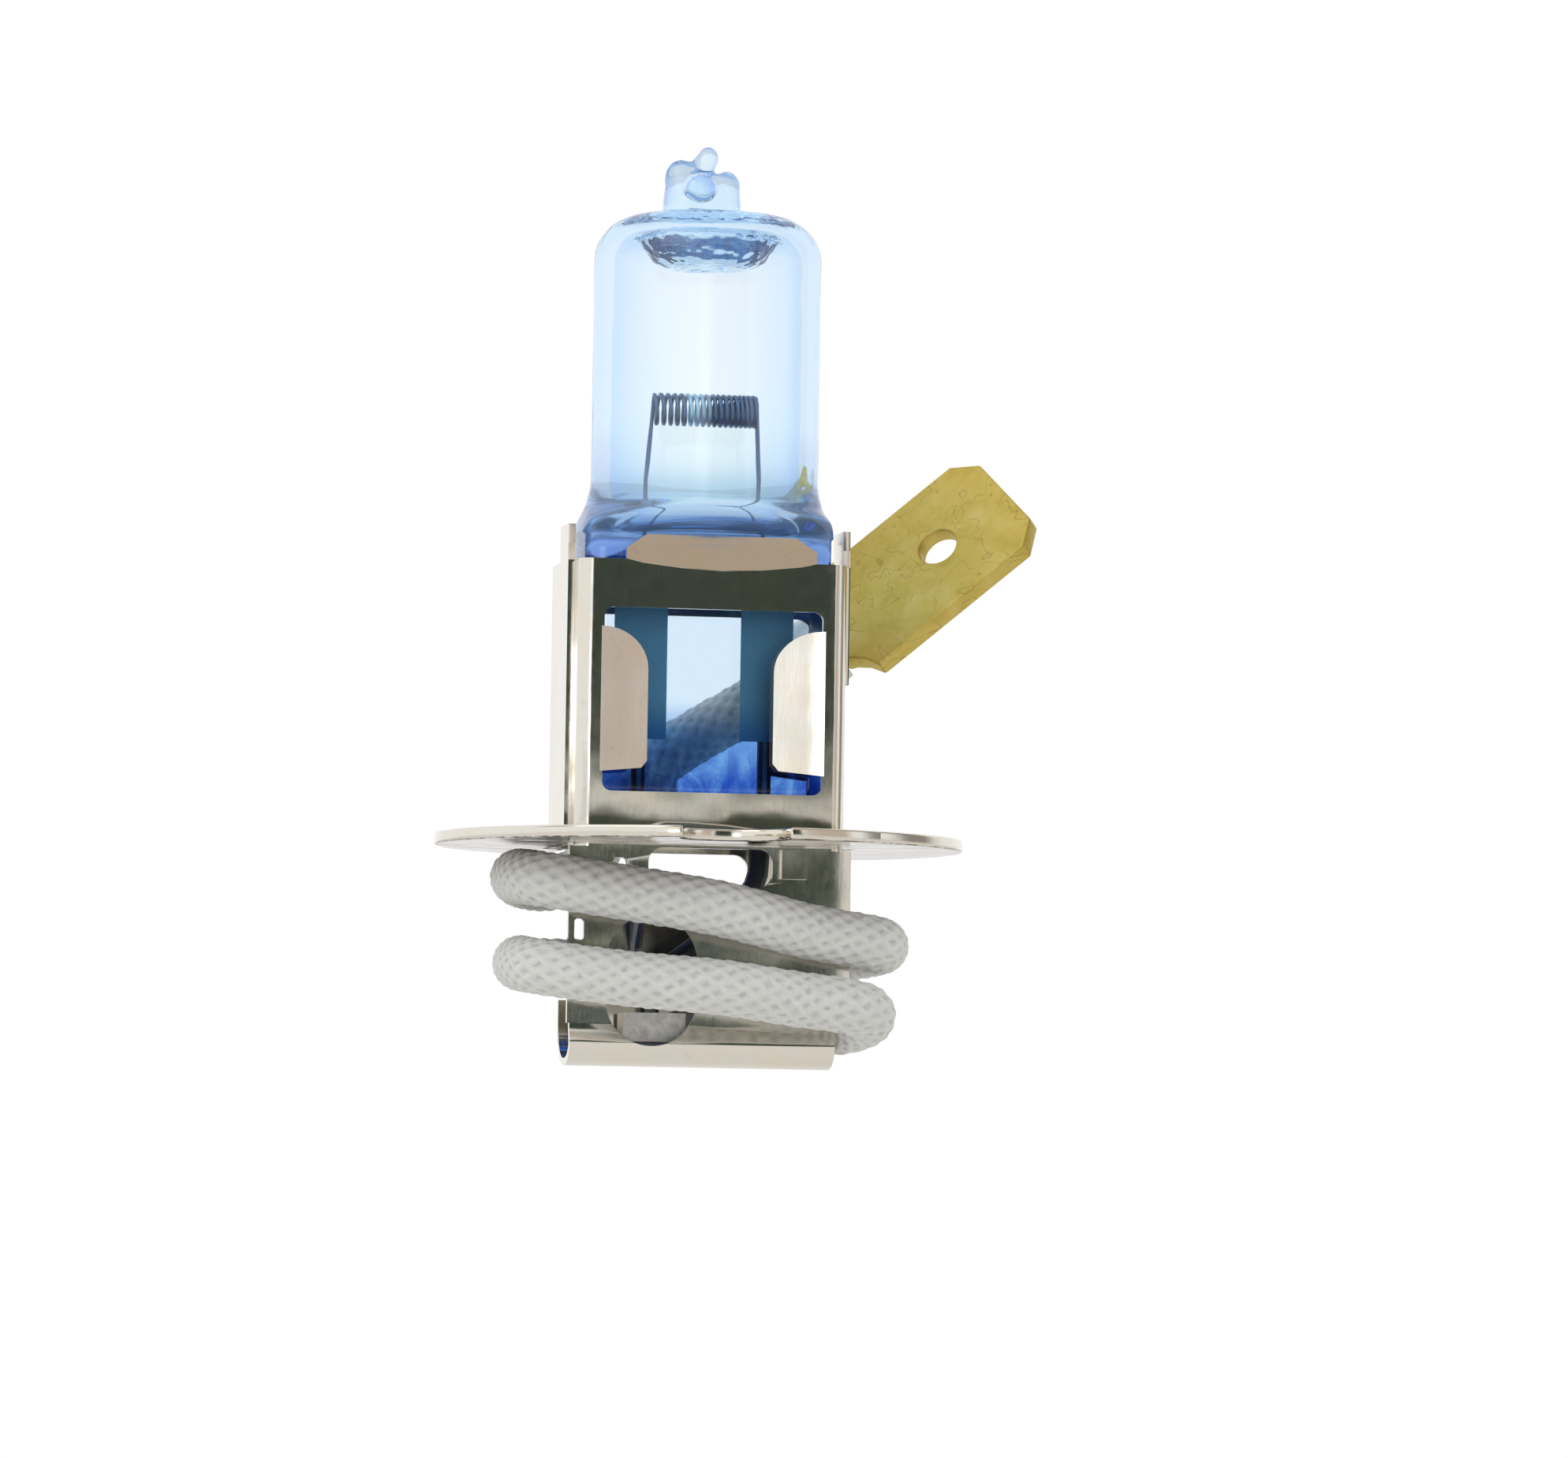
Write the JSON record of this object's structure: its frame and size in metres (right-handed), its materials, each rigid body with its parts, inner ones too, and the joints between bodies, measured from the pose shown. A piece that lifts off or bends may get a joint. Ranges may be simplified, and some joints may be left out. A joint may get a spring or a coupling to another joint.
{
  "type": "headlight bulb",
  "caption": "Halogen headlight bulb with a round prefocus flange, sheet-metal cap, and a braided flying lead ending in a flat blade terminal.",
  "frame": {"origin": "centre of the flange's seating face, on the bulb's axis", "axes": "+Z along the bulb towards its tip, -Y towards the front of the cap, +X towards the side that the terminal leans out on"},
  "size_m": [0.0257, 0.0206, 0.0383],
  "materials": {
    "blue_glass": "clear hard glass with a blue interference coating",
    "tungsten": "drawn tungsten wire",
    "molybdenum": "drawn wire and rolled foil",
    "dark_sleeve": "varnished glass-fibre tube",
    "nickel_plate": "bright nickel-plated sheet",
    "tinned_steel": "tin-plated strip",
    "tinned_copper": "tinned copper strands",
    "glass_fibre_braid": "off-white glass-fibre braid",
    "brass": "stamped brass, lightly scratched"
  },
  "bodies": {
    "root": {"glass_envelope": "blue_glass", "filament": "tungsten", "foil_left": "molybdenum", "foil_right": "molybdenum", "outer_lead_left": "molybdenum", "outer_lead_right": "molybdenum", "insulating_sleeve": "dark_sleeve", "front_shell": "nickel_plate", "rear_shell": "nickel_plate", "flange_disc": "nickel_plate", "splice_ferrule": "tinned_steel", "lead_conductor": "tinned_copper", "braided_lead": "glass_fibre_braid", "crimp_ferrule": "tinned_steel", "blade_terminal": "brass"}
  },
  "joints": []
}
